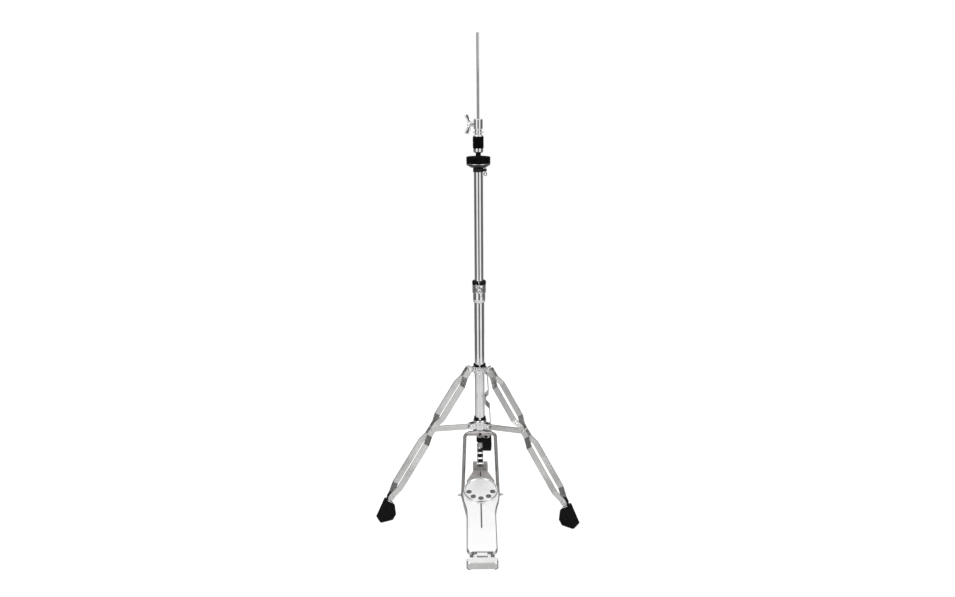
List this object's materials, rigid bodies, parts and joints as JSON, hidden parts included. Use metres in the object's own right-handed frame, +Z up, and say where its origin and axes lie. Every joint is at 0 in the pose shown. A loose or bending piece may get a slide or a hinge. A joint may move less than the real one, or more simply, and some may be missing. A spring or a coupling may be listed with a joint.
{
  "type": "hi-hat stand",
  "caption": "Hi-hat cymbal stand with a folding braced tripod, a telescopic tube, a pull rod with clutch and a chain-driven foot pedal.",
  "frame": {"origin": "on the floor below the middle of the whole outline; the tube axis stands 10.7 mm towards +X and 22.0 mm towards +Y of it", "axes": "+Z up the tube, -Y towards the heel of the pedal, +X to the right when facing the pedal from the player's side"},
  "size_m": [0.514, 0.624, 1.18],
  "materials": {
    "chrome": "polished chrome plate",
    "polished_alloy": "polished cast alloy",
    "cast_alloy": "satin cast alloy",
    "satin_steel": "satin drawn steel",
    "zinc_steel": "zinc-plated steel",
    "black_steel": "black oxide and enamel, semi-gloss",
    "black_rubber": "matt moulded rubber",
    "grey_rubber": "dark grey moulded rubber",
    "black_nylon": "moulded nylon",
    "black_felt": "pressed wool felt"
  },
  "bodies": {
    "stand": {"base_tube": "chrome", "base_casting": "cast_alloy", "casting_screw": "black_steel", "height_collar": "chrome", "height_collar_bush": "black_nylon", "pedal_frame": "satin_steel", "frame_side_bolts": "zinc_steel", "frame_side_nuts": "zinc_steel", "heel_plate": "polished_alloy", "heel_pads": "black_rubber", "heel_hinge_pin": "zinc_steel", "return_spring": "zinc_steel"},
    "height_wing": {"height_wing_bolt": "chrome"},
    "upper_stage": {"upper_tube": "chrome", "seat_boss": "black_steel"},
    "seat": {"seat_cup": "black_steel", "seat_washer": "chrome", "seat_felt": "black_felt", "seat_sleeve": "black_nylon"},
    "tilt_thumb": {"tilt_screw": "chrome"},
    "clutch": {"clutch_body": "chrome", "clutch_spindle": "chrome", "clutch_lock_nuts": "chrome", "clutch_washers": "chrome", "clutch_felts": "black_felt", "clutch_lower_nut": "chrome"},
    "clutch_wing": {"clutch_wing_bolt": "chrome"},
    "pull_rod": {"upper_pull_rod": "satin_steel", "rod_coupler": "satin_steel", "lower_pull_rod": "satin_steel", "spring_collar": "satin_steel", "rod_bumper": "black_rubber", "chain_clevis": "cast_alloy"},
    "chain": {"chain_rollers": "black_steel", "chain_plates": "black_steel", "chain_pins": "black_steel"},
    "pedal": {"footboard": "polished_alloy", "footboard_grips": "grey_rubber", "toe_plate": "polished_alloy", "toe_bracket": "cast_alloy", "toe_screws": "zinc_steel"},
    "tripod": {"brace_collar": "chrome", "brace_collar_bush": "black_nylon", "brace_pivot_pins": "chrome"},
    "leg_slider": {"leg_collar": "chrome", "leg_collar_bush": "black_nylon", "leg_pivot_pins": "chrome"},
    "leg_wing": {"leg_wing_bolt": "chrome"},
    "left_brace_arm": {"left_brace": "chrome"},
    "left_leg": {"left_leg_strips": "chrome", "left_leg_foot": "black_rubber", "left_leg_foot_clip": "chrome"},
    "right_brace_arm": {"right_brace": "chrome"},
    "right_leg": {"right_leg_strips": "chrome", "right_leg_foot": "black_rubber", "right_leg_foot_clip": "chrome"},
    "rear_brace_arm": {"rear_brace": "chrome"},
    "rear_leg": {"rear_leg_strips": "chrome", "rear_leg_foot": "black_rubber", "rear_leg_foot_clip": "chrome"}
  },
  "joints": [
    {"name": "height_slide", "type": "slide", "parent": "stand", "child": "upper_stage", "axis": [0, 0, 1], "range_m": [-0.12, 0.09]},
    {"name": "height_wing_turn", "type": "hinge", "parent": "stand", "child": "height_wing", "pos_m": [0.01067, -0.008, 0.575], "axis": [0, -1, 0], "range_deg": [-120, 120]},
    {"name": "seat_tilt", "type": "hinge", "parent": "upper_stage", "child": "seat", "pos_m": [0.01067, 0.022, 0.8723], "axis": [0, -1, 0], "range_deg": [0, 3]},
    {"name": "tilt_screw_travel", "type": "slide", "parent": "upper_stage", "child": "tilt_thumb", "axis": [0, 0, 1], "range_m": [0, 0.001]},
    {"name": "clutch_slide", "type": "slide", "parent": "upper_stage", "child": "clutch", "axis": [0, 0, 1], "range_m": [0, 0.06]},
    {"name": "clutch_wing_turn", "type": "hinge", "parent": "clutch", "child": "clutch_wing", "pos_m": [-0.00933, 0.022, 0.975], "axis": [-1, 0, 0], "range_deg": [-120, 120]},
    {"name": "pedal_press", "type": "hinge", "parent": "stand", "child": "pedal", "pos_m": [0.01067, -0.27901, 0.0131], "axis": [-1, 0, 0], "range_deg": [0, 6.5]},
    {"name": "pull_rod_slide", "type": "slide", "parent": "stand", "child": "pull_rod", "axis": [0, 0, -1], "range_m": [0, 0.0347], "stiffness_N_per_m": 600, "springref_m": -0.05, "deforming": ["return_spring"]},
    {"name": "chain_swing", "type": "hinge", "parent": "pull_rod", "child": "chain", "pos_m": [0.01067, 0.022, 0.145], "axis": [1, 0, 0], "range_deg": [0, 6.04]},
    {"name": "tripod_swivel", "type": "hinge", "parent": "stand", "child": "tripod", "pos_m": [0.01067, 0.022, 0.205], "axis": [0, 0, 1], "range_deg": [-12, 15]},
    {"name": "leg_fold", "type": "slide", "parent": "tripod", "child": "leg_slider", "axis": [0, 0, 1], "range_m": [0, 0.1056]},
    {"name": "leg_wing_turn", "type": "hinge", "parent": "leg_slider", "child": "leg_wing", "pos_m": [0.01067, -0.008, 0.366], "axis": [0, -1, 0], "range_deg": [-120, 120]},
    {"name": "left_brace_hinge", "type": "hinge", "parent": "tripod", "child": "left_brace_arm", "pos_m": [-0.01463, 0.00999, 0.205], "axis": [-0.4289, 0.9033, 0], "range_deg": [0, 52.1]},
    {"name": "left_leg_hinge", "type": "hinge", "parent": "leg_slider", "child": "left_leg", "pos_m": [-0.01688, 0.00891, 0.365], "axis": [0.4289, -0.9033, 0], "range_deg": [0, 19.38]},
    {"name": "right_brace_hinge", "type": "hinge", "parent": "tripod", "child": "right_brace_arm", "pos_m": [0.03372, 0.0061, 0.205], "axis": [-0.5678, -0.8231, 0], "range_deg": [0, 52.1]},
    {"name": "right_leg_hinge", "type": "hinge", "parent": "leg_slider", "child": "right_leg", "pos_m": [0.03577, 0.00468, 0.365], "axis": [0.5678, 0.8231, 0], "range_deg": [0, 19.38]},
    {"name": "rear_brace_hinge", "type": "hinge", "parent": "tripod", "child": "rear_brace_arm", "pos_m": [0.01291, 0.0499, 0.205], "axis": [0.9968, -0.0802, 0], "range_deg": [0, 52.1]},
    {"name": "rear_leg_hinge", "type": "hinge", "parent": "leg_slider", "child": "rear_leg", "pos_m": [0.01311, 0.0524, 0.365], "axis": [-0.9968, 0.0802, 0], "range_deg": [0, 19.38]}
  ],
  "couplings": [
    {"joint": "tilt_screw_travel", "follows": "seat_tilt", "m_per_rad": 0.0165},
    {"joint": "pull_rod_slide", "follows": "pedal_press", "m_per_rad": 0.30345},
    {"joint": "chain_swing", "follows": "pedal_press", "ratio": 0.91452},
    {"joint": "left_brace_hinge", "follows": "leg_fold", "rad_per_m": 8.5784},
    {"joint": "left_leg_hinge", "follows": "leg_fold", "rad_per_m": 3.1692},
    {"joint": "right_brace_hinge", "follows": "leg_fold", "rad_per_m": 8.5784},
    {"joint": "right_leg_hinge", "follows": "leg_fold", "rad_per_m": 3.1692},
    {"joint": "rear_brace_hinge", "follows": "leg_fold", "rad_per_m": 8.5784},
    {"joint": "rear_leg_hinge", "follows": "leg_fold", "rad_per_m": 3.1692}
  ]
}
